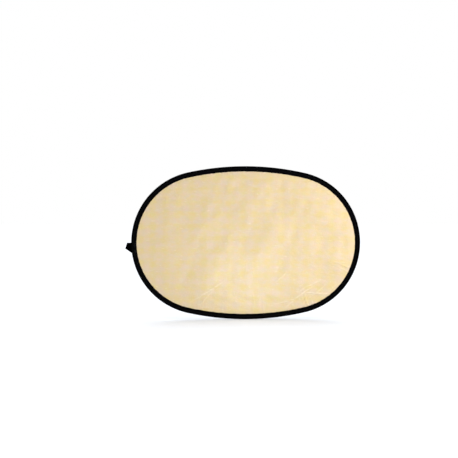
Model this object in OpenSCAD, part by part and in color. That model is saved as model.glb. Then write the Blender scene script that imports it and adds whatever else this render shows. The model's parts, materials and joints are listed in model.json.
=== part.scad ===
// Collapsible oval reflector. Two cloths, gold in front and white behind, are sewn at
// their edges into a folded binding tape, which is stretched over a flat hoop of spring
// steel. The hoop's ends meet in a riveted sleeve, and a webbing loop is sewn on beside it.
//
// The reflector stands in the XZ plane with the gold face towards -Y and the long axis
// along X. The origin is the middle of the rim's lower edge.
//
// To collapse, the disc first bends about lines parallel to Z. Cloth, hoop and binding are
// continuous on the real thing and are cut here at those lines, one piece for each panel.

/* [Oval] */
// Length across the rim
oval_length = 1200; // [1180:10:1400]
// Height across the rim
oval_height = 800; // [790:5:840]
// Radius of the two end arcs, at the outside of the rim
end_radius = 375; // [350:1:378]

/* [Bend lines] */
// Gap between neighbouring rim pieces at a bend line
rim_gap = 2.8; // [2.6:0.1:4]
// Gap between neighbouring cloth pieces at a bend line
cloth_gap = 0.8; // [0.4:0.1:2]

/* [Binding tape] */
// Width of the folded binding, from the outside of the rim to its inner edge
binding_width = 28; // [24:0.5:30]
// Radius of the round bead that the binding makes over the hoop
bead_radius = 4.6; // [4.5:0.05:5]
// Distance from the outside of the rim to where the two legs lie flat
flat_start = 11; // [10.5:0.25:11.5]
// Thickness of the tape
tape_thickness = 0.6; // [0.5:0.02:0.6]

/* [Cloths] */
// Thickness of each cloth
cloth_thickness = 0.5; // [0.3:0.02:0.6]
// Distance from the outside of the rim to the cloths' hidden edge
cloth_inset = 12; // [11.5:0.25:13]

/* [Hoop and its splice] */
// Width of the spring-steel band, across the disc's plane
hoop_width = 5; // [4:0.1:5]
// Thickness of the spring-steel band
hoop_thickness = 1; // [0.8:0.05:1]
// Length of the sleeve over the hoop's two ends
ferrule_length = 60; // [54:1:70]
// Wall of the sleeve
ferrule_wall = 0.5; // [0.4:0.05:0.5]
// Length of the tape wrapped over the sleeve
wrap_length = 80; // [72:1:100]
// Distance of the inner rivets from the hoop's ends
rivet_inset = 8; // [6:0.5:10]
// Distance between the two rivets in each end
rivet_pitch = 14; // [8:0.5:16]

/* [Seams] */
// Distance of the inner row of stitches from the binding's inner edge
inner_seam_inset = 2.5; // [2:0.1:3]
// Distance of the outer row of stitches from the outside of the rim
outer_seam_inset = 13.5; // [12.5:0.1:14]
// Width of a row of stitches
thread_width = 0.8; // [0.5:0.1:1.2]

/* [Hanging loop] */
// Width of the webbing
webbing_width = 30; // [25:1:30]
// Thickness of the webbing
webbing_thickness = 1.2; // [1:0.1:1.2]
// How far the loop's fold stands out from the rim, at its upper end
loop_reach = 21; // [20:1:26]
// Tilt of the fold from the vertical, which turns the rear leg down by twice as much
fold_tilt = 17; // [12:1:20]
// Open gap between the two legs of the loop
loop_gap = 5; // [4.8:0.1:6]

/* [Hidden] */
$fn = 720;
arc_steps = 24;
fit_gap = 0.05;
stitch_height = 0.4;
beyond = 2000;

// Oval of four arcs: two ends and two long sides that meet them in line
half_length = oval_length / 2;
half_height = oval_height / 2;
centre_z = half_height;
end_x = half_length - end_radius;
side_radius = (end_x * end_x + half_height * half_height - end_radius * end_radius)
    / (2 * (half_height - end_radius));
side_drop = side_radius - half_height;
join_angle = atan2(side_drop, end_x);
join_x = side_radius * cos(join_angle);
arc_overrun = 0.5;

// Binding tape: outer faces of its legs, and the slope that rises from them to the bead
leg_face = fit_gap + cloth_thickness + fit_gap + tape_thickness;
slope_run = flat_start - bead_radius;
slope = asin(bead_radius / norm([slope_run, leg_face])) - atan2(leg_face, slope_run);
seam_insets = [binding_width - inner_seam_inset, outer_seam_inset];

// Sleeve, rivets and wrap, as half sizes across the rim (width) and along it (depth)
ferrule_half_depth = hoop_thickness / 2 + fit_gap + ferrule_wall;
ferrule_half_width = hoop_width / 2 + fit_gap + ferrule_wall;
rivet_radius = 1;
rivet_head_radius = 1.7;
rivet_head_height = 0.4;
wrap_wall = 0.3;
wrap_inner_half_depth = ferrule_half_depth + rivet_head_height + 3 * fit_gap;
wrap_inner_half_width = ferrule_half_width + fit_gap;

// Hanging loop: the sewn ends' distances from the binding, and the line it swings about
web_inner = fit_gap;
web_outer = web_inner + webbing_thickness;
swing_x = -half_length - web_outer - 1.75;
spread_length = 7.6;
spread_x = swing_x - spread_length;
root_length = 1.5;
root_gap = 0.2;
root_lap = 0.4;
root_step = 0.15;
fold_steps = 9;
loop_half = loop_gap / 2 + webbing_thickness;
fold_x = -half_length - loop_reach;

// Panels from left to right. The outermost bend lines pass where the arcs join, so each
// rim piece is one arc.
panels = [
    "left_end", "left_3", "left_2", "left_1", "middle",
    "right_1", "right_2", "right_3", "right_end"
];
last = len(panels) - 1;
panel_width = 2 * join_x / (last - 1);

function is_end(i) = i == 0 || i == last;
function panel_left(i) = i == 0 ? -beyond : (i - 0.5 - last / 2) * panel_width;
function panel_right(i) = i == last ? beyond : (i + 0.5 - last / 2) * panel_width;

layers = ["gold_cloth", "white_cloth", "spring_hoop", "edge_binding", "seam_thread"];
extras = [
    "splice_ferrule", "splice_rivets", "splice_wrap",
    "loop_sewn_ends", "hanging_loop", "loop_bartack"
];

// ---- Shapes that repeat ----

// Sweeps a profile about a point of the XZ plane, from one angle to another.
// In the profile, x is the distance from that point and y points to the front.
module sweep(x, z, from, to) {
    translate([x, 0, z])
        rotate([90, 0, 0])
            rotate([0, 0, from])
                rotate_extrude(angle = to - from)
                    children();
}

// Long side of the rim: up is 1 for the top and -1 for the bottom.
// In the profile, x is 0 at the outside of the rim.
module side_arc(up) {
    middle = 90 * up;
    spread = 90 - join_angle + arc_overrun;
    sweep(0, centre_z - up * side_drop, middle - spread, middle + spread)
        translate([side_radius, 0])
            children();
}

// End of the rim: side is 1 for the right and -1 for the left
module end_arc(side) {
    middle = side > 0 ? 0 : 180;
    spread = join_angle + arc_overrun;
    sweep(side * end_x, centre_z, middle - spread, middle + spread)
        translate([end_radius, 0])
            children();
}

// Keeps what lies in panel i, with a gap at its bend lines
module in_panel(i, gap) {
    left = panel_left(i) + gap / 2;
    right = panel_right(i) - gap / 2;
    intersection() {
        children();
        translate([left, -50, -50])
            cube([right - left, 100, oval_height + 100]);
    }
}

// The rim's run through panel i, with the profile given as the child
module rim_in_panel(i) {
    in_panel(i, rim_gap) {
        if (is_end(i)) {
            end_arc(i == 0 ? -1 : 1) children();
        } else {
            union() {
                side_arc(1) children();
                side_arc(-1) children();
            }
        }
    }
}

// One side of the tape's fold, offset outwards by t: leg, slope and the bead's arc
function fold_line(t, inner_end) = [
    [-inner_end, leg_face + t],
    [-flat_start - t * tan(slope / 2), leg_face + t],
    for (i = [0 : arc_steps])
        let (a = (90 + slope) * (1 - 2 * i / arc_steps))
            [-bead_radius + (bead_radius + t) * cos(a), (bead_radius + t) * sin(a)],
    [-flat_start - t * tan(slope / 2), -leg_face - t],
    [-inner_end, -leg_face - t]
];

function reversed(points) = [for (i = [len(points) - 1 : -1 : 0]) points[i]];

// Layer that follows the tape's fold between two offsets
module folded_layer(t_outer, t_inner, inner_end) {
    polygon(concat(fold_line(t_outer, inner_end), reversed(fold_line(t_inner, inner_end))));
}

// Rectangle centred on the hoop's middle line
module hoop_box(half_depth, half_width) {
    translate([-bead_radius - half_depth, -half_width])
        square([2 * half_depth, 2 * half_width]);
}

// Angle at the left end for a length measured down along the hoop
function hoop_angle(length) = 180 + length / (end_radius - bead_radius) * 180 / PI;

// Sweep along the hoop at the left end, over a length centred on the splice
module splice_arc(length) {
    sweep(-end_x, centre_z, hoop_angle(-length / 2), hoop_angle(length / 2))
        translate([end_radius, 0])
            children();
}

// Radial cylinders at the places of the rivets
module at_rivets() {
    for (side = [-1, 1], n = [0, 1])
        translate([-end_x, 0, centre_z])
            rotate([0, -hoop_angle(side * (rivet_inset + n * rivet_pitch)), 0])
                translate([end_radius - bead_radius, 0, 0])
                    rotate([0, 90, 0])
                        children();
}

// ---- Cloths ----

// Points along one arc of the cloths' outline
function arc_points(x, z, radius, middle, spread) = [
    for (i = [-arc_steps : arc_steps])
        let (a = middle + spread * i / arc_steps)
            [x + radius * cos(a), z + radius * sin(a)]
];

function cloth_outline() = concat(
    arc_points(end_x, centre_z, end_radius - cloth_inset, 0, join_angle),
    arc_points(0, centre_z - side_drop, side_radius - cloth_inset, 90, 89 - join_angle),
    arc_points(-end_x, centre_z, end_radius - cloth_inset, 180, join_angle),
    arc_points(0, centre_z + side_drop, side_radius - cloth_inset, 270, 89 - join_angle)
);

// Cloth through panel i, with its front at y = front_y
module cloth(i, front_y) {
    in_panel(i, cloth_gap)
        translate([0, front_y + cloth_thickness, 0])
            rotate([90, 0, 0])
                linear_extrude(height = cloth_thickness)
                    polygon(cloth_outline());
}

module gold_cloth(i) {
    color([0.9, 0.79, 0.6])
        cloth(i, -fit_gap - cloth_thickness);
}

module white_cloth(i) {
    color([0.95, 0.95, 0.96])
        cloth(i, fit_gap);
}

// ---- Rim ----

module spring_hoop(i) {
    color([0.55, 0.57, 0.6])
        difference() {
            rim_in_panel(i) hoop_box(hoop_thickness / 2, hoop_width / 2);
            if (i == 0) {
                splice_arc(0.5) hoop_box(hoop_thickness, hoop_width);
                at_rivets() cylinder(r = rivet_radius + fit_gap, h = 10, center = true);
            }
        }
}

// One row of stitches in the binding's profile, pulled down flush with the tape: face is 0
// for the front and 1 for the back
module stitch_profile(inset, face, margin = 0) {
    mirror([0, face])
        translate([-inset - thread_width / 2 - margin, leg_face - stitch_height - margin])
            square([thread_width + 2 * margin, stitch_height + 2 * margin]);
}

module edge_binding(i) {
    color([0.04, 0.04, 0.045])
        rim_in_panel(i)
            difference() {
                folded_layer(0, -tape_thickness, binding_width);
                for (inset = seam_insets, face = [0, 1])
                    stitch_profile(inset, face, fit_gap);
            }
}

// Two rows of stitches, on the front and on the back of the binding
module seam_thread(i) {
    color([0.1, 0.1, 0.1])
        for (inset = seam_insets, face = [0, 1])
            rim_in_panel(i) stitch_profile(inset, face);
}

// ---- Splice at the left end ----

module splice_ferrule() {
    color([0.7, 0.71, 0.73])
        difference() {
            splice_arc(ferrule_length)
                hoop_box(ferrule_half_depth, ferrule_half_width);
            splice_arc(ferrule_length + 2)
                hoop_box(hoop_thickness / 2 + fit_gap, hoop_width / 2 + fit_gap);
            at_rivets() cylinder(r = rivet_radius + fit_gap, h = 10, center = true);
        }
}

module splice_rivets() {
    head_base = ferrule_half_depth + fit_gap / 2;
    color([0.8, 0.8, 0.78])
        at_rivets() {
            cylinder(r = rivet_radius, h = 2 * head_base, center = true);
            for (side = [0, 1]) mirror([0, 0, side])
                translate([0, 0, head_base])
                    cylinder(r = rivet_head_radius, h = rivet_head_height);
        }
}

module splice_wrap() {
    color([0.15, 0.15, 0.16])
        difference() {
            splice_arc(wrap_length)
                hoop_box(wrap_inner_half_depth + wrap_wall, wrap_inner_half_width + wrap_wall);
            splice_arc(wrap_length + 2)
                hoop_box(wrap_inner_half_depth, wrap_inner_half_width);
        }
}

// ---- Hanging loop at the left end ----

// Outline of a leg in the XZ plane: the front one runs level from the fold, the rear one
// is its mirror image in the fold. Across the fold itself both have square-cut edges.
module leg_prism(rear) {
    turn = rear ? -2 * fold_tilt : 0;
    along = beyond * [cos(turn), sin(turn)];
    down = webbing_width / cos(fold_tilt) * [-sin(fold_tilt), -cos(fold_tilt)];
    out = [-cos(fold_tilt), sin(fold_tilt)];
    start = -1.5 * webbing_thickness * out;
    translate([fold_x, 0, centre_z])
        rotate([90, 0, 0])
            linear_extrude(height = 100, center = true)
                polygon([
                    start,
                    start + along,
                    start + along + down,
                    start + down,
                    start + down + 5 * out,
                    start + 5 * out
                ]);
}

// The two legs run apart from the swing line, then side by side round the fold
module loop_shell() {
    bend = [
        for (i = [0 : fold_steps])
            let (a = -90 + 180 * i / fold_steps)
                [cos(a), sin(a)]
    ];
    outer = [for (b = bend) loop_half * (b - [1, 0])];
    inner = [for (b = bend) loop_gap / 2 * b - loop_half * [1, 0]];
    intersection() {
        translate([fold_x, 0, centre_z])
            rotate([0, 180 + fold_tilt, 0])
                translate([0, 0, -50])
                    linear_extrude(height = 150)
                        polygon(concat(
                            [[-90, -loop_half]], outer, [[-90, loop_half]],
                            [[-90, loop_gap / 2]], reversed(inner), [[-90, -loop_gap / 2]]
                        ));
        translate([spread_x - 100, -50, 0])
            cube([100 + root_lap, 100, oval_height]);
    }
    translate([spread_x, 0, 0])
        linear_extrude(height = oval_height)
            polygon([
                [spread_length, -webbing_thickness],
                [spread_length, webbing_thickness],
                [0, loop_half - root_step],
                [0, loop_gap / 2 + root_step],
                [spread_length - root_length, root_gap],
                [spread_length - root_length, -root_gap],
                [0, -loop_gap / 2 - root_step],
                [0, -loop_half + root_step]
            ]);
}

module hanging_loop() {
    color([0.06, 0.06, 0.065])
        union() {
            intersection() {
                loop_shell();
                leg_prism(false);
                translate([-beyond, -50, 0]) cube([beyond, 50, oval_height]);
            }
            intersection() {
                loop_shell();
                leg_prism(true);
                translate([-beyond, 0, 0]) cube([beyond, 50, oval_height]);
            }
        }
}

// Both ends of the webbing, bent over the back of the bead and down onto the binding
module loop_sewn_ends() {
    color([0.06, 0.06, 0.065])
        intersection() {
            sweep(-end_x, centre_z, 176, 196)
                translate([end_radius, 0])
                    intersection() {
                        folded_layer(web_outer, web_inner, binding_width - 0.5);
                        translate([-50, -50]) square([100, 50]);
                    }
            union() {
                leg_prism(false);
                leg_prism(true);
            }
        }
}

// Bar-tacks through the webbing's ends and the binding, on both faces
module loop_bartack() {
    bar_inset = 20;
    bar_width = 2;
    color([0.12, 0.12, 0.12])
        for (middle = [hoop_angle(webbing_width / 2), hoop_angle(webbing_width * 1.6)])
            sweep(-end_x, centre_z, middle - 1.8, middle + 1.8)
                translate([end_radius - bar_inset, 0]) {
                    translate([0, leg_face]) square([bar_width, stitch_height]);
                    translate([0, -leg_face - web_outer - stitch_height])
                        square([bar_width, stitch_height]);
                }
}

// ---- Nodes ----

for (i = [0 : last]) {
    gold_cloth(i);
    white_cloth(i);
    spring_hoop(i);
    edge_binding(i);
    seam_thread(i);
}
splice_ferrule();
splice_rivets();
splice_wrap();
loop_sewn_ends();
hanging_loop();
loop_bartack();
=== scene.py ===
import json
import math

import bpy
import numpy as np
from mathutils import Matrix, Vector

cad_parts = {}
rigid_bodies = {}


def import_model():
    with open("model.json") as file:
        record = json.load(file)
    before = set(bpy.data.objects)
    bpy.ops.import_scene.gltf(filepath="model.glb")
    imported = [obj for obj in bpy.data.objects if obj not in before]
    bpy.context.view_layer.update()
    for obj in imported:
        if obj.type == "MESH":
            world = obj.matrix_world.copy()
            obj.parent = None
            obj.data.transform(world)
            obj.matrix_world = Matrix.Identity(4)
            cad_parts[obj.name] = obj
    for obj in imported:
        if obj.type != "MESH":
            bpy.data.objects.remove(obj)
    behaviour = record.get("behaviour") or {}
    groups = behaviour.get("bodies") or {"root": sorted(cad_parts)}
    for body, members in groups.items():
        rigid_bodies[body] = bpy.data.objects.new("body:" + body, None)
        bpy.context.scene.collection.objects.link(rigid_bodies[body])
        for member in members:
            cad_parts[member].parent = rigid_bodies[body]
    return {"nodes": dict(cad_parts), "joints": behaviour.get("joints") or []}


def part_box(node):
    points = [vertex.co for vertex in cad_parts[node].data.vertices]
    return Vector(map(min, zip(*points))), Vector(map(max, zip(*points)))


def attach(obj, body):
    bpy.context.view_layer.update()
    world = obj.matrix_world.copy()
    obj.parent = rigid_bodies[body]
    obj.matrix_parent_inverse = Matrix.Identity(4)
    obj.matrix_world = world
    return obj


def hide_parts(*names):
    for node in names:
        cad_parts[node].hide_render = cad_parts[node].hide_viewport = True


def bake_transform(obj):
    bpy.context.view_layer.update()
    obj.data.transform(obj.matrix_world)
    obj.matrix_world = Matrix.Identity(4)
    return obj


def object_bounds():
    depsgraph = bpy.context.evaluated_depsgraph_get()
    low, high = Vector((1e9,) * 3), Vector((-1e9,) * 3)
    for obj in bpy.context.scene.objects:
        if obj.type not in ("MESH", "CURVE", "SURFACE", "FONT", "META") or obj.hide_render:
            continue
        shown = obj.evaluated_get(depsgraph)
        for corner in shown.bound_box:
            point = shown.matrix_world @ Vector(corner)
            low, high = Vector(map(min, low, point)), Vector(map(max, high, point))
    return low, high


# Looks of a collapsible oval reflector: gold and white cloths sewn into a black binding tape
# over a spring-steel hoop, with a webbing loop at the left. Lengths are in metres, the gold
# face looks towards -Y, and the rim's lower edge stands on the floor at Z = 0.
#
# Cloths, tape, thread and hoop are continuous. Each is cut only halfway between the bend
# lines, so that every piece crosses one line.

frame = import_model()
cad_low, cad_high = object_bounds()

MM = 0.001
SEED = 20


# ---- Bend lines, from the record's joints ----

class BendLine:
    """One joint between two panels, with the panel to its left and the one to its right."""

    def __init__(self, joint):
        self.name = joint["name"].replace("bend_", "")
        self.x = joint["pos_m"][0]
        pair = [joint["parent"], joint["child"]]
        self.left, self.right = pair if self.x > 0 else reversed(pair)


bend_lines = sorted(
    (BendLine(j) for j in frame["joints"] if j["name"].startswith("bend_")),
    key=lambda line: line.x,
)
PANEL = bend_lines[1].x - bend_lines[0].x
swing = next(j for j in frame["joints"] if j["name"] == "loop_swing")
SWING_X = swing["pos_m"][0]


# ---- The rim's outline: four arcs that meet in line ----

rim_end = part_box("edge_binding_right_end")[1]
rim_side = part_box("edge_binding_middle")
HALF_LENGTH = rim_end.x
HALF_HEIGHT = (rim_side[1].z - rim_side[0].z) / 2
MIDDLE_Z = (rim_side[1].z + rim_side[0].z) / 2
END_RADIUS = 375 * MM
END_X = HALF_LENGTH - END_RADIUS
SIDE_RADIUS = (END_X**2 + HALF_HEIGHT**2 - END_RADIUS**2) / (2 * (HALF_HEIGHT - END_RADIUS))
SIDE_DROP = SIDE_RADIUS - HALF_HEIGHT
JOIN = math.atan2(SIDE_DROP, END_X)

# Directions of the outward normal where one arc gives way to the next, anticlockwise from
# the middle of the lower side, and the length round the rim up to each
TURNS = np.array([-math.pi / 2, -JOIN, JOIN, math.pi - JOIN, math.pi + JOIN, 1.5 * math.pi])
ARC_RADII = np.array([SIDE_RADIUS, END_RADIUS, SIDE_RADIUS, END_RADIUS, SIDE_RADIUS])
LENGTHS = np.concatenate([[0], np.cumsum(np.diff(TURNS) * ARC_RADII)])
PERIMETER = LENGTHS[-1]


def length_at(turn):
    return np.interp(turn, TURNS, LENGTHS)


def turn_at(length):
    return np.interp(length, LENGTHS, TURNS)


def rim_points(turn, inset, y):
    """Points at some insets from the outside of the rim, one row for each turn."""
    across, up = np.cos(turn), np.sin(turn)
    on_end = np.abs(up) < math.sin(JOIN)
    centre_x = np.where(on_end, np.sign(across) * END_X, 0)
    centre_z = MIDDLE_Z - np.where(on_end, 0, np.sign(up) * SIDE_DROP)
    reach = np.where(on_end, END_RADIUS, SIDE_RADIUS)[:, None] - inset
    x = centre_x[:, None] + reach * across[:, None]
    z = centre_z[:, None] + reach * up[:, None]
    return np.stack([x, np.broadcast_to(y, x.shape), z], -1)


def rim_place(x, z):
    """Inset from the outside of the rim, and length round the rim, of points on the disc."""
    side, up = np.abs(x), np.abs(z - MIDDLE_Z)
    on_end = up < (side - END_X) * math.tan(JOIN)
    from_x = np.where(on_end, side - END_X, side)
    from_z = np.where(on_end, up, up + SIDE_DROP)
    inset = np.where(on_end, END_RADIUS, SIDE_RADIUS) - np.hypot(from_x, from_z)
    turn = np.arctan2(np.copysign(from_z, z - MIDDLE_Z), np.copysign(from_x, x))
    turn = np.where(turn < -math.pi / 2, turn + 2 * math.pi, turn)
    return inset, length_at(turn)


def half_chord(x, inset):
    """Half the height of the disc at x, inside a line at that inset."""
    side = np.abs(x)
    on_end = side > END_X + (END_RADIUS - inset) * math.cos(JOIN)
    end = np.sqrt(np.maximum((END_RADIUS - inset) ** 2 - (side - END_X) ** 2, 0))
    long_side = np.sqrt((SIDE_RADIUS - inset) ** 2 - side**2) - SIDE_DROP
    return np.where(on_end, end, long_side)


def evenly(first, last, step):
    count = max(2, round(abs(last - first) / step))
    return np.linspace(first, last, count + 1)


def rim_runs(line, step):
    """Turns of the sections in the stretches of rim that belong to one bend line."""
    left, right = line.x - PANEL / 2, line.x + PANEL / 2
    top = [math.acos(np.clip(x / SIDE_RADIUS, -1, 1)) for x in (right, left)]
    if line is bend_lines[0]:
        stretches = [(top[0], 2 * math.pi - top[0])]
    elif line is bend_lines[-1]:
        stretches = [(-top[1], top[1])]
    elif line.x > 0:
        stretches = [(top[0], top[1]), (-top[1], -top[0])]
    else:
        stretches = [(top[0], top[1]), (2 * math.pi - top[1], 2 * math.pi - top[0])]
    return [turn_at(evenly(*length_at(np.array(pair)), step)) for pair in stretches]


# ---- Closed solids swept through sections ----

def smooth_step(t):
    t = np.clip(t, 0, 1)
    return t * t * (3 - 2 * t)


def bell(x, middle, width):
    return np.exp(-(((x - middle) / width) ** 2))


def sweep_solid(name, runs, sample, flat, small, material):
    """One mesh of closed solids, each swept through the sections at a run of spots.

    sample(spots) gives the sections' points, as [section, point, xyz], and flat(spots) their
    places on the flat material, with the first point's place repeated at the end. small is a
    step along the run that is short beside its detail, and is used to find the normals.
    """
    points, normals, faces, uvs = [], [], [], []
    start = 0
    for spots in runs:
        here = sample(spots)
        along = sample(spots + small) - sample(spots - small)
        around = np.roll(here, -1, axis=1) - np.roll(here, 1, axis=1)
        normal = np.cross(around, along)
        size = np.linalg.norm(normal, axis=2, keepdims=True)
        normals.append((normal / np.maximum(size, 1e-15)).reshape(-1, 3))
        points.append(here.reshape(-1, 3))
        rows, count = here.shape[:2]
        i, j = np.meshgrid(np.arange(rows - 1), np.arange(count), indexing="ij")
        after = (j + 1) % count
        quads = np.stack([i * count + j, i * count + after, (i + 1) * count + after, (i + 1) * count + j], -1)
        faces += (quads.reshape(-1, 4) + start).tolist()
        place = flat(spots)
        corners = np.stack([place[i, j], place[i, j + 1], place[i + 1, j + 1], place[i + 1, j]], -2)
        uvs.append(corners.reshape(-1, 2))
        first = np.arange(count)
        faces.append((first[::-1] + start).tolist())
        faces.append((first + (rows - 1) * count + start).tolist())
        uvs.append(place[0, :-1][::-1])
        uvs.append(place[-1, :-1])
        start += rows * count
    return new_piece(name, np.concatenate(points), np.concatenate(normals), faces,
                     np.concatenate(uvs), material)


def new_piece(name, points, normals, faces, uvs, material):
    mesh = bpy.data.meshes.new(name)
    mesh.from_pydata(points.tolist(), [], faces)
    layer = mesh.uv_layers.new(name="flat")
    layer.uv.foreach_set("vector", uvs.astype(np.float32).ravel())
    mesh.materials.append(material)
    mesh.validate()
    # Smooth, apart from the ends
    mesh.polygons.foreach_set("use_smooth", [len(face) == 4 for face in faces])
    mesh.normals_split_custom_set_from_vertices(normals.tolist())
    piece = bpy.data.objects.new(name, mesh)
    bpy.context.scene.collection.objects.link(piece)
    return piece


def bend_across(piece, line, nodes):
    """The piece crosses that line, and stands for those layers of both panels."""
    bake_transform(piece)
    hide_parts(*[f"{layer}_{panel}" for layer in nodes for panel in (line.left, line.right)])


def waves(seed, count, longest, shortest, period=None):
    """A smooth random line of unit size. With a period, it closes on itself."""
    rng = np.random.default_rng(seed)
    lengths = np.exp(rng.uniform(math.log(shortest), math.log(longest), count))
    if period:
        lengths = period / np.maximum(1, np.round(period / lengths))
    phases = rng.uniform(0, 2 * math.pi, count)
    weight = math.sqrt(2 / count)

    def line(s):
        return weight * sum(np.sin(2 * math.pi * s / w + p) for w, p in zip(lengths, phases))
    return line


class Crumple:
    """Smooth noise over a plane, from random slopes at the corners of unit cells."""

    def __init__(self, seed):
        angle = np.random.default_rng(seed).uniform(0, 2 * math.pi, (97, 97))
        self.slopes = np.stack([np.cos(angle), np.sin(angle)], -1)

    def corner(self, u, v, i, j):
        slope = self.slopes[i.astype(int) % 97, j.astype(int) % 97]
        return slope[..., 0] * (u - i) + slope[..., 1] * (v - j)

    def __call__(self, u, v):
        i, j = np.floor(u), np.floor(v)
        right, up = smooth_step(u - i), smooth_step(v - j)
        lower = self.corner(u, v, i, j) * (1 - right) + self.corner(u, v, i + 1, j) * right
        upper = self.corner(u, v, i, j + 1) * (1 - right) + self.corner(u, v, i + 1, j + 1) * right
        return lower * (1 - up) + upper * up


# ---- Materials ----

class Nodes:
    """Short ways to write a material's node tree."""

    def __init__(self, name):
        self.material = bpy.data.materials.new(name)
        self.material.use_nodes = True
        self.tree = self.material.node_tree
        self.shader = self.tree.nodes["Principled BSDF"]

    def node(self, kind, inputs=None, **settings):
        made = self.tree.nodes.new(kind)
        for key, value in settings.items():
            setattr(made, key, value)
        for key, value in (inputs or {}).items():
            self.put(made.inputs[key], value)
        return made

    def put(self, socket, value):
        if isinstance(value, bpy.types.NodeSocket):
            self.tree.links.new(value, socket)
        else:
            socket.default_value = value

    def math(self, operation, a, b=0.0, c=0.0):
        inputs = {0: a, 1: b, 2: c}
        return self.node("ShaderNodeMath", inputs, operation=operation).outputs[0]

    def flat(self):
        """The piece's own flat coordinates, in metres, along and across the material."""
        uv = self.node("ShaderNodeUVMap", uv_map="flat").outputs[0]
        apart = self.node("ShaderNodeSeparateXYZ", {0: uv})
        return apart.outputs[0], apart.outputs[1]

    def place(self, u, v, scale_u=1.0, scale_v=1.0):
        x = self.math("MULTIPLY", u, scale_u)
        y = self.math("MULTIPLY", v, scale_v)
        return self.node("ShaderNodeCombineXYZ", {0: x, 1: y}).outputs[0]

    def noise(self, vector, scale, detail=2.0, roughness=0.5):
        inputs = {"Vector": vector, "Scale": scale, "Detail": detail, "Roughness": roughness}
        return self.node("ShaderNodeTexNoise", inputs).outputs["Fac"]

    def wave(self, coordinate, pitch):
        """Rises and falls from 0 to 1 and back, once every pitch."""
        turn = self.math("MULTIPLY", coordinate, 2 * math.pi / pitch)
        return self.math("MULTIPLY_ADD", self.math("SINE", turn), 0.5, 0.5)

    def spread(self, value, low, high, to_low=0.0, to_high=1.0):
        inputs = {0: value, 1: low, 2: high, 3: to_low, 4: to_high}
        return self.node("ShaderNodeMapRange", inputs).outputs[0]

    def mix(self, share, a, b):
        made = self.node("ShaderNodeMix", data_type="RGBA")
        self.put(made.inputs[0], share)
        self.put(made.inputs[6], a)
        self.put(made.inputs[7], b)
        return made.outputs[2]

    def bump(self, height, depth, under=None):
        inputs = {"Strength": 1.0, "Distance": depth, "Height": height}
        if under is not None:
            inputs["Normal"] = under
        return self.node("ShaderNodeBump", inputs).outputs[0]

    def finish(self, **sockets):
        for key, value in sockets.items():
            self.put(self.shader.inputs[key.replace("_", " ")], value)
        return self.material


def colour(red, green, blue):
    """A linear colour from the values, up to 255, that a screen shows it with."""
    def linear(part):
        part /= 255
        return part / 12.92 if part <= 0.04045 else ((part + 0.055) / 1.055) ** 2.4
    return (linear(red), linear(green), linear(blue), 1.0)


def gold_lame():
    """Fine check of gold and silver threads, in patches that drift in tone, with painted glints and a painted
    highlight along the creases.
    """
    n = Nodes("gold_lame")
    u, v = n.flat()
    check = 3.2 * MM
    thread = 0.55 * MM
    wander = n.noise(n.place(u, v), 9.0)
    shifted_u = n.math("MULTIPLY_ADD", wander, 2 * check, u)
    shifted_v = n.math("MULTIPLY_ADD", wander, 2 * check, v)
    bands = n.math("ADD", n.wave(shifted_u, check), n.wave(shifted_v, check))
    fine = n.spread(bands, 0.6, 1.4)
    rows = n.noise(n.place(u, v, 30, 110), 1.0, 3.0, 0.6)
    columns = n.noise(n.place(u, v, 95, 60), 1.0, 3.0, 0.6)
    plaid = n.spread(n.math("ADD", rows, columns), 0.8, 1.2)
    lattice = n.math("ADD", n.wave(shifted_u, 67 * MM), n.wave(shifted_v, 63 * MM))
    lattice = n.spread(lattice, 0.3, 1.7)
    patches = n.spread(n.noise(n.place(u, v, 19, 34), 1.0, 2.0), 0.38, 0.62)
    drift = n.math("MULTIPLY_ADD", lattice, 0.48, n.math("MULTIPLY", plaid, 0.2))
    drift = n.math("MULTIPLY_ADD", patches, 0.32, drift)
    share = n.math("MULTIPLY_ADD", fine, 0.14, n.math("MULTIPLY", drift, 0.86))
    base = n.mix(share, colour(218, 196, 104), colour(216, 194, 188))
    tint = n.spread(n.noise(n.place(u, v, 34, 48), 1.0, 3.0, 0.6), 0.38, 0.62)
    base = n.mix(0.5, base, n.mix(tint, colour(220, 191, 149), colour(213, 195, 153)))
    # Painted glints: thin streaks of a pale highlight colour laid into the gold's base colour
    glints = n.noise(n.place(u, v, 42, 260), 1.0, 4.0, 0.7)
    painted_glint = n.spread(glints, 0.6, 0.78)
    base = n.mix(n.math("MULTIPLY", painted_glint, 0.72), base, colour(255, 244, 216))
    # Painted highlight: a pale colour laid along the creases' ridges in place of the light they catch, broken
    # up by noise
    painted_crease_highlight = n.node("ShaderNodeAttribute", attribute_name="crease").outputs["Fac"]
    painted_crease_highlight = n.math("MULTIPLY", painted_crease_highlight, n.spread(rows, 0.3, 0.62, 0.0, 0.34))
    base = n.mix(painted_crease_highlight, base, colour(246, 232, 205))
    weave = n.math("MAXIMUM", n.wave(u, thread), n.wave(v, thread))
    crinkle = n.noise(n.place(u, v), 160.0, 3.0, 0.55)
    normal = n.bump(crinkle, 0.5 * MM, n.bump(weave, 0.03 * MM))
    rough = n.spread(n.math("ADD", fine, crinkle), 0.3, 1.4, 0.4, 0.56)
    return n.finish(Base_Color=base, Metallic=0.45, Roughness=rough, Normal=normal,
                    Sheen_Weight=0.15, Sheen_Roughness=0.4)


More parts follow.
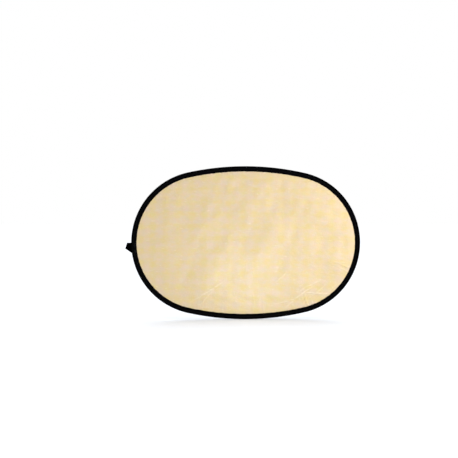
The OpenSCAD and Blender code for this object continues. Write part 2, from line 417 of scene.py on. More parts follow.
def white_nylon():
    """Silky white cloth with a faint grid of thicker threads."""
    n = Nodes("white_nylon")
    u, v = n.flat()
    thread, grid = 0.4 * MM, 5 * MM
    cloudy = n.noise(n.place(u, v), 14.0, 3.0)
    streaks = n.noise(n.place(u, v, 60, 6), 1.0, 3.0)
    tone = n.spread(n.math("ADD", cloudy, streaks), 0.7, 1.3)
    base = n.mix(tone, colour(240, 241, 244), colour(250, 250, 250))
    ridge_u = n.spread(n.wave(u, grid), 0.94, 1.0)
    ridge_v = n.spread(n.wave(v, grid), 0.94, 1.0)
    weave = n.math("MAXIMUM", n.wave(u, thread), n.wave(v, thread))
    height = n.math("MULTIPLY_ADD", n.math("MAXIMUM", ridge_u, ridge_v), 0.6, weave)
    crinkle = n.noise(n.place(u, v), 130.0, 3.0, 0.55)
    normal = n.bump(crinkle, 0.35 * MM, n.bump(height, 0.03 * MM))
    rough = n.spread(crinkle, 0.3, 0.7, 0.5, 0.62)
    return n.finish(Base_Color=base, Roughness=rough, Normal=normal,
                    Sheen_Weight=0.25, Sheen_Roughness=0.45)


def black_tape():
    """Ribbed binding tape with faint patches of dust."""
    n = Nodes("black_tape")
    u, v = n.flat()
    rib = n.wave(u, 0.9 * MM)
    thread = n.wave(v, 0.6 * MM)
    dust = n.spread(n.noise(n.place(u, v, 1, 3), 45.0, 4.0, 0.6), 0.5, 0.8)
    base = n.mix(rib, colour(1, 1, 2), colour(5, 5, 6))
    base = n.mix(n.math("MULTIPLY", dust, 0.35), base, colour(12, 12, 13))
    height = n.math("MULTIPLY_ADD", thread, 0.3, rib)
    return n.finish(Base_Color=base, Roughness=n.spread(dust, 0, 1, 0.72, 0.9),
                    Normal=n.bump(height, 0.12 * MM), Specular_IOR_Level=0.015)


def black_webbing():
    """Thick webbing: rows of bulging threads, and a firm edge on each side."""
    n = Nodes("black_webbing")
    u, v = n.flat()
    pitch = 1.5 * MM
    row = n.math("FLOOR", n.math("DIVIDE", v, pitch))
    shifted = n.math("MULTIPLY_ADD", row, pitch / 2, u)
    knuckle = n.math("MULTIPLY", n.wave(shifted, pitch), n.wave(v, pitch))
    base = n.mix(knuckle, colour(10, 10, 11), colour(38, 38, 41))
    fuzz = n.noise(n.place(u, v), 900.0, 2.0)
    height = n.math("MULTIPLY_ADD", fuzz, 0.25, knuckle)
    return n.finish(Base_Color=base, Roughness=0.7, Normal=n.bump(height, 0.3 * MM),
                    Specular_IOR_Level=0.1)


def black_thread():
    n = Nodes("black_thread")
    u, v = n.flat()
    twist = n.wave(n.math("MULTIPLY_ADD", v, 0.8, u), 0.45 * MM)
    base = n.mix(twist, colour(8, 8, 9), colour(30, 30, 33))
    return n.finish(Base_Color=base, Roughness=0.5, Normal=n.bump(twist, 0.1 * MM),
                    Specular_IOR_Level=0.2)


def blued_spring():
    n = Nodes("blued_spring")
    u, v = n.flat()
    brushed = n.noise(n.place(u, v, 12, 2500), 1.0, 3.0)
    stain = n.noise(n.place(u, v, 1, 4), 25.0, 3.0)
    base = n.mix(stain, colour(72, 84, 108), colour(150, 150, 158))
    return n.finish(Base_Color=base, Metallic=1.0, Roughness=n.spread(brushed, 0.3, 0.7, 0.22, 0.42),
                    Normal=n.bump(brushed, 0.02 * MM))


def zinc():
    n = Nodes("zinc")
    where = n.node("ShaderNodeTexCoord").outputs["Object"]
    spangle = n.noise(where, 180.0, 3.0)
    scratches = n.noise(where, 1400.0, 2.0)
    base = n.mix(spangle, colour(176, 180, 186), colour(214, 216, 220))
    return n.finish(Base_Color=base, Metallic=1.0, Roughness=n.spread(spangle, 0.3, 0.7, 0.28, 0.5),
                    Normal=n.bump(scratches, 0.02 * MM))


def wrap_tape():
    n = Nodes("wrap_tape")
    where = n.node("ShaderNodeTexCoord").outputs["Object"]
    apart = n.node("ShaderNodeSeparateXYZ", {0: where})
    weave = n.math("MAXIMUM", n.wave(apart.outputs[1], 0.6 * MM), n.wave(apart.outputs[2], 0.6 * MM))
    grime = n.noise(where, 120.0, 3.0)
    base = n.mix(weave, colour(28, 28, 30), colour(62, 62, 66))
    base = n.mix(n.math("MULTIPLY", grime, 0.4), base, colour(20, 20, 21))
    return n.finish(Base_Color=base, Roughness=n.spread(grime, 0.3, 0.7, 0.6, 0.85),
                    Normal=n.bump(weave, 0.08 * MM))


gold = gold_lame()
white = white_nylon()
tape = black_tape()
webbing = black_webbing()
thread = black_thread()
spring = blued_spring()
zinc_plate = zinc()
wrap = wrap_tape()


# ---- Cloths ----

BINDING_WIDTH = 28 * MM
CLOTH_INSET = 12.5 * MM
CLOTH_THICKNESS = 0.3 * MM
CLOTH_BACK = 0.15 * MM
CLOTH_ROWS = 210

common_wave = [waves(SEED + n, 3, 0.5, 0.16) for n in range(6)]


def shared_wave(x, z):
    """Slow undulation of both cloths together, away from the rim."""
    total = 0
    for n, wave in enumerate(common_wave):
        tilt = math.pi * n / len(common_wave)
        total = total + wave(x * math.cos(tilt) + z * math.sin(tilt))
    return 0.35 * MM * total


class ClothFace:
    """One cloth: side is -1 for the gold front and 1 for the white back."""

    def __init__(self, side, seed):
        self.side = side
        self.pucker = waves(seed, 14, 44 * MM, 15 * MM, PERIMETER)
        self.pucker_size = waves(seed + 1, 8, 0.6, 0.09, PERIMETER)
        self.reach = waves(seed + 2, 8, 0.7, 0.1, PERIMETER)
        self.ripple = [waves(seed + 3 + n, 3, 0.16, 0.05) for n in range(8)]
        self.crumples = [Crumple(seed + 20 + n) for n in range(3)]

    def puff(self, x, z):
        """How far the cloth stands off the other one."""
        inset, length = rim_place(x, z)
        inside = np.maximum(inset - BINDING_WIDTH + 2 * MM, 0)
        reach = (34 + 14 * self.reach(length)) * MM
        fade = np.exp(-inside / np.maximum(reach, 12 * MM)) * smooth_step(inside / (7 * MM))
        lower_right = bell(length, length_at(-JOIN), 0.35)
        lower_left = bell(length, PERIMETER * 0.97, 0.25)
        slack = 0.35 + 0.9 * lower_right + 0.35 * lower_left
        size = slack * np.maximum(0.5 + 0.35 * self.pucker_size(length), 0.08)
        pucker = size * fade * (1 + self.pucker(length)) ** 2 * 0.22 * MM
        slow = 0
        for n, wave in enumerate(self.ripple):
            tilt = math.pi * n / len(self.ripple)
            slow = slow + wave(x * math.cos(tilt) + z * math.sin(tilt))
        slow = 0.1 * MM * (2.6 + slow) * smooth_step(inside / (60 * MM))
        fine = 0
        for crumple, wide, high, depth in zip(self.crumples, (46, 30, 20), (24, 15, 11), (0.3, 0.24, 0.14)):
            fine = fine + depth * MM * crumple(x / (wide * MM) + 0.3 * z / (high * MM), z / (high * MM))
        fine = (fine + 0.3 * MM) * smooth_step(inside / (16 * MM))
        return np.maximum(pucker + slow + fine + self.creases(x, z, inside), 0)

    def crease_shapes(self, x, z):
        """For each crease its share of full height at those points, and its height."""
        for x0, z0, x1, z1, width, height in CREASES[self.side]:
            along = np.array([x1 - x0, z1 - z0])
            length = np.linalg.norm(along)
            along = along / length
            down_line = (x - x0) * along[0] + (z - z0) * along[1]
            off_line = (z - z0) * along[0] - (x - x0) * along[1]
            off_line = off_line + 5 * MM * np.sin(down_line / length * math.pi + 40 * x0)
            fade = 0.3 * length
            taper = smooth_step(down_line / fade) * smooth_step((length - down_line) / fade)
            yield taper * bell(off_line, 0, width), height

    def creases(self, x, z, inside):
        total = sum(share * height for share, height in self.crease_shapes(x, z))
        return total * smooth_step(inside / (20 * MM))

    def crease_highlight_shares(self, x):
        """How strongly the painted highlight along the creases shows, for each point of sample(x)."""
        ring = self.sample(x)
        shapes = self.crease_shapes(ring[..., 0], ring[..., 2])
        return np.max([share * (height / MM) ** 2 for share, height in shapes], axis=0)

    def sample(self, x):
        """Sections of the cloth at x: up its outer skin and down its inner one."""
        half = half_chord(x, CLOTH_INSET)[:, None]
        t = np.linspace(0, 1, CLOTH_ROWS)
        t = 0.45 * t + 0.55 * (1 - np.cos(math.pi * t)) / 2
        z = MIDDLE_Z + half * (2 * t - 1)
        x = np.broadcast_to(x[:, None], z.shape)
        inset = rim_place(x, z)[0]
        shared = shared_wave(x, z) * smooth_step((inset - BINDING_WIDTH) / (120 * MM))
        outer = shared + self.side * (CLOTH_BACK + CLOTH_THICKNESS + self.puff(x, z))
        inner = outer - self.side * CLOTH_THICKNESS
        skins = [np.stack([x, outer, z], -1), np.stack([x, inner, z], -1)[:, ::-1]]
        ring = np.concatenate(skins, axis=1)
        return ring if self.side > 0 else ring[:, ::-1]

    def flat(self, x):
        ring = self.sample(x)[:, :, [0, 2]]
        return np.concatenate([ring, ring[:, :1]], axis=1)


# Soft creases left by folding, for each side: both ends (x, z), half width and height
CREASES = {
    -1: [
        (-0.310, 0.085, -0.100, 0.215, 3.2 * MM, 1.2 * MM),
        (-0.262, 0.060, -0.170, 0.150, 3.2 * MM, 0.8 * MM),
        (0.140, 0.180, 0.215, 0.262, 3.2 * MM, 0.9 * MM),
        (0.262, 0.130, 0.400, 0.215, 3.0 * MM, 1.0 * MM),
        (0.290, 0.136, 0.460, 0.138, 3.0 * MM, 1.2 * MM),
        (0.120, 0.062, 0.290, 0.122, 3.2 * MM, 1.0 * MM),
        (0.235, 0.088, 0.360, 0.175, 3.0 * MM, 1.2 * MM),
        (0.318, 0.104, 0.425, 0.190, 3.0 * MM, 1.0 * MM),
        (0.185, 0.050, 0.262, 0.105, 3.0 * MM, 1.0 * MM),
        (0.037, 0.040, 0.036, 0.160, 3.0 * MM, 0.4 * MM),
        (0.071, 0.042, 0.073, 0.132, 3.0 * MM, 0.4 * MM),
        (-0.012, 0.200, -0.006, 0.305, 3.0 * MM, 0.4 * MM),
        (0.420, 0.290, 0.540, 0.300, 3.0 * MM, 0.6 * MM),
        (-0.020, 0.552, 0.060, 0.553, 3.0 * MM, 0.3 * MM),
        (-0.460, 0.300, -0.380, 0.330, 3.0 * MM, 0.4 * MM),
    ],
    1: [
        (-0.440, 0.160, -0.420, 0.460, 4.0 * MM, 1.0 * MM),
        (-0.370, 0.100, -0.360, 0.340, 3.0 * MM, 1.2 * MM),
        (-0.345, 0.080, -0.330, 0.260, 3.0 * MM, 0.9 * MM),
        (-0.300, 0.080, -0.270, 0.300, 3.5 * MM, 0.9 * MM),
        (0.420, 0.200, 0.400, 0.520, 4.0 * MM, 0.8 * MM),
        (0.200, 0.080, 0.220, 0.340, 3.5 * MM, 0.9 * MM),
        (-0.100, 0.050, -0.060, 0.300, 3.0 * MM, 0.9 * MM),
        (-0.200, 0.500, 0.100, 0.660, 4.5 * MM, 0.7 * MM),
        (0.280, 0.560, 0.440, 0.480, 4.0 * MM, 0.7 * MM),
    ],
}


def cloth_columns(line):
    """Places of a cloth piece's sections along X, closer together towards the disc's tips."""
    step, turn_step = 4 * MM, 0.011
    left, right = line.x - PANEL / 2, line.x + PANEL / 2
    tip = HALF_LENGTH - CLOTH_INSET - 0.4 * MM
    if line is bend_lines[0]:
        curved = evenly(math.asin(-right / tip), math.pi / 2, turn_step)
        return -tip * np.sin(curved[::-1])
    if line is bend_lines[-1]:
        curved = evenly(math.asin(left / tip), math.pi / 2, turn_step)
        return tip * np.sin(curved)
    return evenly(left, right, step)


def make_cloth(side, name, layer, material, seed):
    face = ClothFace(side, seed)
    for line in bend_lines:
        columns = cloth_columns(line)
        piece = sweep_solid(f"{name}_{line.name}", [columns], face.sample, face.flat, 0.5 * MM,
                            material)
        # Shares of the painted crease highlight, which the gold material reads
        highlight_shares = piece.data.attributes.new("crease", "FLOAT", "POINT")
        highlight_shares.data.foreach_set("value", face.crease_highlight_shares(columns).astype(np.float32).ravel())
        bend_across(piece, line, [layer])


# ---- Binding tape ----

FLAT_START = 11 * MM
BEAD_RADIUS = 4.6 * MM
TAPE_THICKNESS = 0.6 * MM
LEG_FACE = 1.2 * MM
SEAM_INSETS = [25.5 * MM, 13.5 * MM]
BETWEEN_SEAMS = sum(SEAM_INSETS) / 2
STITCH_PITCH = 3.4 * MM
slope_run = FLAT_START - BEAD_RADIUS
SLOPE = math.asin(BEAD_RADIUS / math.hypot(slope_run, LEG_FACE)) - math.atan2(LEG_FACE, slope_run)


def fold_line():
    """Front half of the tape's outer face, from the inner edge to the outside of the bead.

    Gives insets, heights off the middle plane, and how far the outward normal leans. The points
    gather at the inner edge and at the two seams.
    """
    leg = np.array([27.9, 27.0, 26.2, 25.5, 24.8, 23.2, 21.2, 19.2, 17.2, 15.4, 14.2, 13.5, 12.8, 12.0]) * MM
    bend = (math.pi / 2 + SLOPE) * np.linspace(1, 0, 17)
    slope_end = BEAD_RADIUS - BEAD_RADIUS * math.cos(bend[0])
    rise = np.linspace(FLAT_START, slope_end, 5)[:-1]
    inset = np.concatenate([leg, rise, BEAD_RADIUS - BEAD_RADIUS * np.cos(bend)])
    height = np.concatenate([
        np.full(len(leg), LEG_FACE), LEG_FACE + (FLAT_START - rise) * math.tan(SLOPE),
        BEAD_RADIUS * np.sin(bend),
    ])
    lean = np.concatenate([np.zeros(len(leg)), np.full(len(rise), SLOPE), bend - math.pi / 2])
    return inset, height, lean


fold_inset, fold_height, fold_lean = fold_line()
tape_inset = np.concatenate([fold_inset, fold_inset[-2::-1]])
tape_height = np.concatenate([-fold_height, fold_height[-2::-1]])
out_inset = np.concatenate([np.sin(fold_lean), np.sin(fold_lean)[-2::-1]])
out_height = np.concatenate([-np.cos(fold_lean), np.cos(fold_lean)[-2::-1]])
is_front = np.arange(len(tape_inset)) < len(fold_inset)
tape_puffs = [waves(SEED + 40 + n, 12, 19 * MM, 9 * MM, PERIMETER) for n in range(2)]
tape_edge = [waves(SEED + 50 + n, 10, 90 * MM, 22 * MM, PERIMETER) for n in range(2)]
bead_ripple = waves(SEED + 60, 12, 60 * MM, 12 * MM, PERIMETER)


def tape_relief(length):
    """How far the tape stands off its plain fold, for each section and point of its face."""
    length = length[:, None]
    dips = sum(bell(tape_inset, seam, 1.1 * MM) for seam in SEAM_INSETS)
    between = bell(tape_inset, BETWEEN_SEAMS, 3.6 * MM) + 0.7 * bell(tape_inset, BINDING_WIDTH, 0.9 * MM)
    puff = np.where(is_front, tape_puffs[0](length), tape_puffs[1](length))
    bead = bell(tape_inset, 0, 7 * MM) * (bead_ripple(length) - 2)
    return (-0.22 * dips + between * (0.16 + 0.13 * puff) + 0.06 * bead) * MM


def tape_sections(turn):
    length = length_at(turn)
    relief = tape_relief(length)
    edge = np.where(is_front, tape_edge[0](length[:, None]), tape_edge[1](length[:, None]))
    sway = 0.3 * MM * edge * smooth_step((tape_inset - 15 * MM) / (7 * MM))
    outer = rim_points(turn, tape_inset + sway + relief * out_inset, tape_height + relief * out_height)
    sunk = relief - TAPE_THICKNESS
    inner = rim_points(turn, tape_inset + sway + sunk * out_inset, tape_height + sunk * out_height)
    return np.concatenate([outer, inner[:, ::-1]], axis=1)


tape_steps = np.hypot(np.diff(tape_inset), np.diff(tape_height))
tape_across = np.concatenate([[0], np.cumsum(tape_steps)])


def tape_flat(turn):
    across = np.concatenate([tape_across, tape_across[::-1], tape_across[:1]])
    length = length_at(turn)[:, None]
    return np.stack(np.broadcast_arrays(length, across), -1)


def make_binding():
    names = {}
    for line in bend_lines:
        piece = sweep_solid(f"binding_tape_{line.name}", rim_runs(line, 2.6 * MM), tape_sections, tape_flat,
                            1e-4, tape)
        bend_across(piece, line, ["edge_binding"])
        names[line.name] = piece.name
    return names


# ---- Hoop ----

HOOP_WIDTH, HOOP_THICKNESS = 5 * MM, 1 * MM
HOOP_GAP = 0.25 * MM
hoop_edge = HOOP_THICKNESS / 2
hoop_corner = math.pi / 2 * np.linspace(-1, 1, 7)
hoop_inset = BEAD_RADIUS + hoop_edge * np.concatenate([np.sin(hoop_corner), -np.sin(hoop_corner)])
hoop_half = HOOP_WIDTH / 2 - hoop_edge
hoop_height = np.concatenate([hoop_half + hoop_edge * np.cos(hoop_corner),
                              -hoop_half - hoop_edge * np.cos(hoop_corner)])


def hoop_sections(turn):
    return rim_points(turn, np.broadcast_to(hoop_inset, (len(turn), len(hoop_inset))), hoop_height)


def hoop_flat(turn):
    across = np.concatenate([hoop_height, hoop_height[:1]]) + hoop_half
    return np.stack(np.broadcast_arrays(length_at(turn)[:, None], across), -1)


def make_hoop():
    """The band is open at the middle of the left end, inside its sleeve."""
    half_gap = HOOP_GAP / END_RADIUS
    for line in bend_lines:
        runs = rim_runs(line, 6 * MM)
        if line is bend_lines[0]:
            turns = runs[0]
            above = turns[turns < math.pi - half_gap]
            below = turns[turns > math.pi + half_gap]
            runs = [np.append(above, math.pi - half_gap), np.insert(below, 0, math.pi + half_gap)]
        piece = sweep_solid(f"spring_band_{line.name}", runs, hoop_sections, hoop_flat, 1e-4,
                            spring)
        bend_across(piece, line, ["spring_hoop"])


# ---- Seams ----

THREAD_RADIUS = 0.27 * MM
THREAD_SIDES = 6


def tube(path, up, radius):
    """Rings of points round paths [tube, point, xyz], and each point's outward normal."""
    ahead = np.gradient(path, axis=1)
    across = np.cross(ahead, up)
    across /= np.linalg.norm(across, axis=2, keepdims=True)
    angles = 2 * math.pi * np.arange(THREAD_SIDES) / THREAD_SIDES
    ring = np.cos(angles)[:, None] * across[..., None, :] + np.sin(angles)[:, None] * up[..., None, :]
    return path[..., None, :] + ring * radius[..., None], ring


def tube_faces(count, rings):
    """Faces of count closed tubes."""
    i, j = np.meshgrid(np.arange(rings - 1), np.arange(THREAD_SIDES), indexing="ij")
    after = (j + 1) % THREAD_SIDES
    quads = np.stack([i, i + 1, i + 1, i], -1) * THREAD_SIDES + np.stack([j, j, after, after], -1)
    quads = quads.reshape(-1, 4)
    first = np.arange(THREAD_SIDES)
    caps = np.stack([first, first[::-1] + (rings - 1) * THREAD_SIDES])
    offset = np.arange(count)[:, None, None] * rings * THREAD_SIDES
    return (quads + offset).reshape(-1, 4), (caps + offset).reshape(-1, THREAD_SIDES)


def thread_flat(count, rings, step):
    """Flat coordinates of tube_faces' corners: along the thread and round it."""
    i, j = np.meshgrid(np.arange(rings - 1), np.arange(THREAD_SIDES), indexing="ij")
    girth = 2 * math.pi * THREAD_RADIUS / THREAD_SIDES
    u = np.stack([i, i + 1, i + 1, i], -1) * step
    v = np.stack([j, j, j + 1, j + 1], -1) * girth
    quads = np.tile(np.stack([u, v], -1).reshape(-1, 2), (count, 1))
    caps = np.zeros((count * 2 * THREAD_SIDES, 2))
    return np.concatenate([quads, caps])


def threads(length, inset, height, side, thick):
    """Tubes of thread on one face. length, inset and height off the middle plane are given
    for each tube's points."""
    shape = length.shape
    insets, heights = np.broadcast_to(inset, shape), np.broadcast_to(side * height, shape)
    path = rim_points(turn_at(length).ravel(), insets.reshape(-1, 1), heights.reshape(-1, 1))
    up = np.zeros(shape + (3,))
    up[..., 1] = side
    return tube(path.reshape(shape + (3,)), up, thick[:, None] * THREAD_RADIUS)


def stitches(starts, inset, side):
    """The stitches that begin at those lengths round the rim, each dipping in at both ends."""
    share = np.array([0.03, 0.08, 0.2, 0.4, 0.6, 0.8, 0.92, 0.97])
    rise = np.array([-0.5, 0.0, 0.25, 0.34, 0.34, 0.25, 0.0, -0.5]) * MM
    thick = np.array([0.5, 0.85, 1, 1, 1, 1, 0.85, 0.5])
    wobble = 0.12 * MM * np.sin(7919 * starts)[:, None]
    return threads(starts[:, None] + share * STITCH_PITCH, inset + wobble,
                   LEG_FACE - 0.2 * MM + rise, side, thick)


def make_seams():
    starts = np.arange(0, PERIMETER - STITCH_PITCH / 2, PERIMETER / round(PERIMETER / STITCH_PITCH))
    middles = rim_points(turn_at(starts + STITCH_PITCH / 2), np.zeros((len(starts), 1)), 0)[:, 0, 0]
    for line in bend_lines:
        left = -np.inf if line is bend_lines[0] else line.x - PANEL / 2
        right = np.inf if line is bend_lines[-1] else line.x + PANEL / 2
        mine = starts[(middles >= left) & (middles < right)]
        points, normals = [], []
        for inset in SEAM_INSETS:
            for side in (-1, 1):
                rings, ring = stitches(mine, inset, side)
                points.append(rings.reshape(-1, 3))
                normals.append(ring.reshape(-1, 3))
        rings_each = rings.shape[1]
        quads, caps = tube_faces(4 * len(mine), rings_each)
        uvs = thread_flat(4 * len(mine), rings_each, STITCH_PITCH / rings_each)
        piece = new_piece(f"stitches_{line.name}", np.concatenate(points), np.concatenate(normals),
                          quads.tolist() + caps.tolist(), uvs, thread)
        bend_across(piece, line, ["seam_thread"])


# ---- Hanging loop ----

WEB_WIDTH, WEB_THICKNESS = 30 * MM, 1.2 * MM
FOLD_TILT = math.radians(17)
LOOP_REACH = 21 * MM
LOOP_GAP = 5 * MM
SEWN_INSET = 27.5 * MM
fold_radius = (LOOP_GAP + WEB_THICKNESS) / 2
SPREAD_X = SWING_X - 7.6 * MM


def strap_height(inset, start_height, lift):
    """Height off the disc's plane, behind it, of a strap from the swing line to its sewn end.

    It leaves the swing line straight, touches the bead's back and then lies on the tape.
    lift is the distance of its middle from the tape.
    """
    from_bead = HALF_LENGTH + SWING_X - BEAD_RADIUS
    hyp = math.hypot(from_bead, start_height)
    radius = BEAD_RADIUS + lift
    steep = math.asin(min(1, radius / hyp)) + math.atan2(-start_height, -from_bead)
    start_inset = HALF_LENGTH + SWING_X
    ramp = start_height + (inset - start_inset) * math.tan(steep)
    touch = BEAD_RADIUS - radius * math.sin(steep)
    arc = np.sqrt(np.maximum(radius**2 - (BEAD_RADIUS - inset) ** 2, 0))
    lie = LEG_FACE + lift
    down = np.maximum(lie + (FLAT_START - inset) * math.tan(SLOPE), lie)
    leave = BEAD_RADIUS + radius * math.sin(SLOPE)
    return np.where(inset < touch, ramp, np.where(inset < leave, arc, down))


def softened(function, x, width):
    """The mean of a function over a short stretch round x, which rounds its corners."""
    shifts = width * np.linspace(-1, 1, 9)
    return sum(function(x + shift) for shift in shifts) / len(shifts)


def strap_middle(along, across):
    """The strap's middle surface. along runs from the front leg's side of the fold (positive)
    to the rear leg's (negative), and across is 0 at its upper edge and falls to minus its width."""
    t = along * math.cos(FOLD_TILT) - across * math.sin(FOLD_TILT)
    a = along * math.sin(FOLD_TILT) + across * math.cos(FOLD_TILT)
    bend = np.clip(t / fold_radius, -math.pi / 2, math.pi / 2)
    straight = np.maximum(np.abs(t) - fold_radius * math.pi / 2, 0)
    inward = WEB_THICKNESS / 2 + fold_radius * (1 - np.cos(bend)) + straight
    x = -HALF_LENGTH - LOOP_REACH + inward * math.cos(FOLD_TILT) + a * math.sin(FOLD_TILT)
    z = MIDDLE_Z - inward * math.sin(FOLD_TILT) + a * math.cos(FOLD_TILT)
    side = -np.sin(bend)
    together = smooth_step((x - SPREAD_X) / (SWING_X - SPREAD_X))
    loop_y = side * (fold_radius + (WEB_THICKNESS / 2 + 0.03 * MM - fold_radius) * together)
    inset = END_RADIUS - np.hypot(x + END_X, z - MIDDLE_Z)
    is_rear = t < 0
    over = smooth_step((z - (MIDDLE_Z - WEB_WIDTH - 3 * MM)) / (5 * MM))
    lift = WEB_THICKNESS / 2 + 0.06 * MM
    on_front = softened(lambda i: strap_height(i, -lift, lift), inset, 1.3 * MM)
    low = softened(lambda i: strap_height(i, lift, lift), inset, 1.3 * MM)
    high = softened(lambda i: strap_height(i, lift, lift + WEB_THICKNESS), inset, 1.3 * MM)
    sewn_y = np.where(is_rear, low + (high - low) * over, on_front)
    passed = smooth_step((inset - (HALF_LENGTH + SWING_X) + 1.2 * MM) / (1.6 * MM))
    y = loop_y + (sewn_y - loop_y) * passed
    return np.stack([x, y, z], -1)


strap_across = -WEB_WIDTH * np.linspace(0, 1, 25)


def strap_ends():
    """How far the front and the rear leg run from the fold, for each line along the strap."""
    reach = 90 * MM * np.linspace(0, 1, 301)
    ends = []
    for way in (1, -1):
        points = strap_middle(*np.meshgrid(way * reach, strap_across, indexing="ij"))
        inset = END_RADIUS - np.hypot(points[..., 0] + END_X, points[..., 2] - MIDDLE_Z)
        ends.append(np.array([np.interp(SEWN_INSET, line, reach) for line in inset.T]))
    return ends


front_reach, rear_reach = strap_ends()


def strap_along(share):
    """Distances from the fold. share runs from 1 at the front end to -1 at the rear end."""
    share = share[:, None]
    return np.where(share > 0, share * front_reach, share * rear_reach)


def strap_sections(share):
    """Closed sections across the strap: out along one face and back along the other."""
    along = strap_along(share)
    across = np.broadcast_to(strap_across, along.shape)
    small = 0.2 * MM
    middle = strap_middle(along, across)
    du = strap_middle(along + small, across) - strap_middle(along - small, across)
    dv = strap_middle(along, across + small) - strap_middle(along, across - small)
    normal = np.cross(du, dv)
    normal /= np.linalg.norm(normal, axis=2, keepdims=True)
    edge = 1 - 0.45 * bell(np.minimum(-across, WEB_WIDTH + across), 0, 0.5 * MM)
    half = normal * (edge * WEB_THICKNESS / 2)[..., None]
    return np.concatenate([middle - half, (middle + half)[:, ::-1]], axis=1)


def strap_flat(share):
    along = strap_along(share)
    across = np.broadcast_to(strap_across, along.shape)
    face = np.stack([along, across], -1)
    return np.concatenate([face, face[:, ::-1], face[:, :1]], axis=1)


def make_loop():
    piece = sweep_solid("webbing_loop", [evenly(1, -1, 0.013)], strap_sections, strap_flat, 0.001,
                        webbing)
    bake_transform(piece)
    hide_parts("hanging_loop", "loop_sewn_ends")


def make_bartacks():
    """Dense zigzags over the strap's two ends, on the back and through to the front."""
    bar_length, bar_width, bar_inset, passes = 22 * MM, 2 * MM, 18 * MM, 44
    share = np.array([0, 0.12, 0.5, 0.88, 1])
    rise = np.array([-0.3, 0.1, 0.2, 0.1, -0.3]) * MM
    thick = np.array([0.6, 0.9, 1, 0.9, 0.6])
    number = np.arange(passes)[:, None]
    points, normals = [], []
    for down_hoop in (15 * MM, 48 * MM):
        start = length_at(math.pi) + down_hoop - bar_length / 2
        length = start + bar_length * (number + share) / passes
        swing_to = np.where(number % 2, share, 1 - share)
        inset = bar_inset + bar_width * swing_to
        for side, height in ((-1, LEG_FACE), (1, LEG_FACE + WEB_THICKNESS + 0.1 * MM)):
            rings, ring = threads(length, inset, height + rise, side, thick)
            points.append(rings.reshape(-1, 3))
            normals.append(ring.reshape(-1, 3))
    quads, caps = tube_faces(4 * passes, len(share))
    uvs = thread_flat(4 * passes, len(share), bar_width / len(share))
    piece = new_piece("bartack_zigzags", np.concatenate(points), np.concatenate(normals),
                      quads.tolist() + caps.tolist(), uvs, thread)
    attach(piece, "left_end")
    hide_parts("loop_bartack")


# ---- CAD pieces that stay, inside the binding ----

def repaint(node, material):
    mesh = frame["nodes"][node].data
    mesh.materials.clear()
    mesh.materials.append(material)


# ---- Stage: pale floor, white surroundings, soft lights and the camera ----

def make_floor():
    half = 30.0
    mesh = bpy.data.meshes.new("floor")
    z = cad_low.z
    mesh.from_pydata([(-half, -half, z), (half, -half, z), (half, half, z), (-half, half, z)], [],
                     [(0, 1, 2, 3)])
    floor = bpy.data.objects.new("floor", mesh)
    bpy.context.scene.collection.objects.link(floor)
    n = Nodes("floor_paint")
    mottled = n.noise(n.node("ShaderNodeTexCoord").outputs["Object"], 3.0)
    base = n.mix(mottled, (0.85, 0.88, 0.93, 1), (0.87, 0.9, 0.95, 1))
    mesh.materials.append(n.finish(Base_Color=base, Roughness=0.9, Specular_IOR_Level=0.1))


def make_world():
    """White to the camera, and a softer white as a light."""
    world = bpy.data.worlds.new("studio")
    bpy.context.scene.world = world
    world.use_nodes = True
    tree = world.node_tree
    tree.nodes.clear()
    seen = tree.nodes.new("ShaderNodeBackground")
    seen.inputs["Color"].default_value = (1, 1, 1, 1)
    seen.inputs["Strength"].default_value = 1.0
    light = tree.nodes.new("ShaderNodeBackground")
    light.inputs["Color"].default_value = (1, 1, 1, 1)
    light.inputs["Strength"].default_value = 0.48
    ray = tree.nodes.new("ShaderNodeLightPath")
    mix = tree.nodes.new("ShaderNodeMixShader")
    out = tree.nodes.new("ShaderNodeOutputWorld")
    tree.links.new(ray.outputs["Is Camera Ray"], mix.inputs[0])
    tree.links.new(light.outputs[0], mix.inputs[1])
    tree.links.new(seen.outputs[0], mix.inputs[2])
    tree.links.new(mix.outputs[0], out.inputs[0])


def pose_from(right, up, back, place):
    pose = Matrix.Identity(4)
    for row in range(3):
        pose[row][0], pose[row][1], pose[row][2], pose[row][3] = right[row], up[row], back[row], place[row]
    return pose


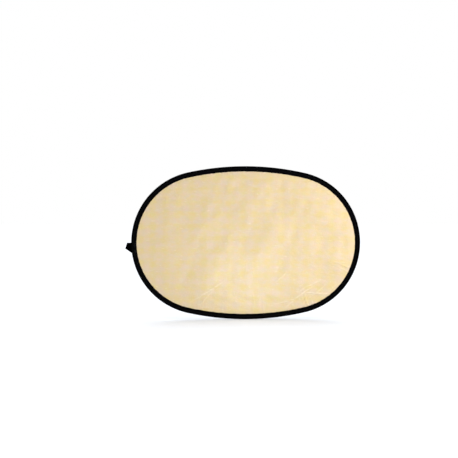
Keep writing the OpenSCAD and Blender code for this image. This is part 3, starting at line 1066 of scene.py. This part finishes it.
def add_softbox(name, place, aim, size, power, tint=(1.0, 1.0, 1.0)):
    data = bpy.data.lights.new(name, "AREA")
    data.shape = "SQUARE"
    data.size = size
    data.color = tint
    data.energy = power
    lamp = bpy.data.objects.new(name, data)
    bpy.context.scene.collection.objects.link(lamp)
    back = np.array(place, float) - np.array(aim, float)
    back /= np.linalg.norm(back)
    right = np.cross((0, 0, 1), back)
    right /= np.linalg.norm(right)
    lamp.matrix_world = pose_from(right, np.cross(back, right), back, place)
    lamp.visible_camera = False


def add_sun(elevation, azimuth, spread, power):
    """Broad light from high behind the disc, which keeps the whole floor white."""
    data = bpy.data.lights.new("sky_panel", "SUN")
    data.energy = power
    data.angle = math.radians(spread)
    lamp = bpy.data.objects.new("sky_panel", data)
    bpy.context.scene.collection.objects.link(lamp)
    lamp.rotation_euler = (math.radians(elevation - 90), 0, math.radians(azimuth))


def make_camera():
    place = (-0.295, -3.6, 0.55)
    yaw, pitch, roll = math.radians(-3.215), math.radians(-1.237), math.radians(0.153)
    ahead = np.array([-math.sin(yaw) * math.cos(pitch), math.cos(yaw) * math.cos(pitch), math.sin(pitch)])
    level = np.array([math.cos(yaw), math.sin(yaw), 0])
    upright = np.cross(level, ahead)
    right = math.cos(roll) * level + math.sin(roll) * upright
    up = math.cos(roll) * upright - math.sin(roll) * level
    data = bpy.data.cameras.new("camera")
    data.lens = 54.36
    data.sensor_width = 36
    data.clip_end = 200
    camera = bpy.data.objects.new("camera", data)
    bpy.context.scene.collection.objects.link(camera)
    camera.matrix_world = pose_from(right, up, -ahead, place)
    bpy.context.scene.camera = camera


binding_names = make_binding()
make_cloth(-1, "gold_sheet", "gold_cloth", gold, SEED + 100)
make_cloth(1, "white_sheet", "white_cloth", white, SEED + 200)
make_hoop()
make_seams()
make_loop()
make_bartacks()
repaint("splice_ferrule", zinc_plate)
repaint("splice_rivets", zinc_plate)
repaint("splice_wrap", wrap)

make_floor()
make_world()
add_softbox("key", (3.2, -4.4, 0.8), (0, 0, 0.4), 2.8, 125)
add_softbox("low_fill", (0.05, -0.7, 0.05), (0.05, 0, 0.05), 0.3, 1.1, (0.66, 0.8, 1.0))
add_sun(80, -12, 100, 2.5)
make_camera()
bpy.context.scene.view_settings.view_transform = "Standard"
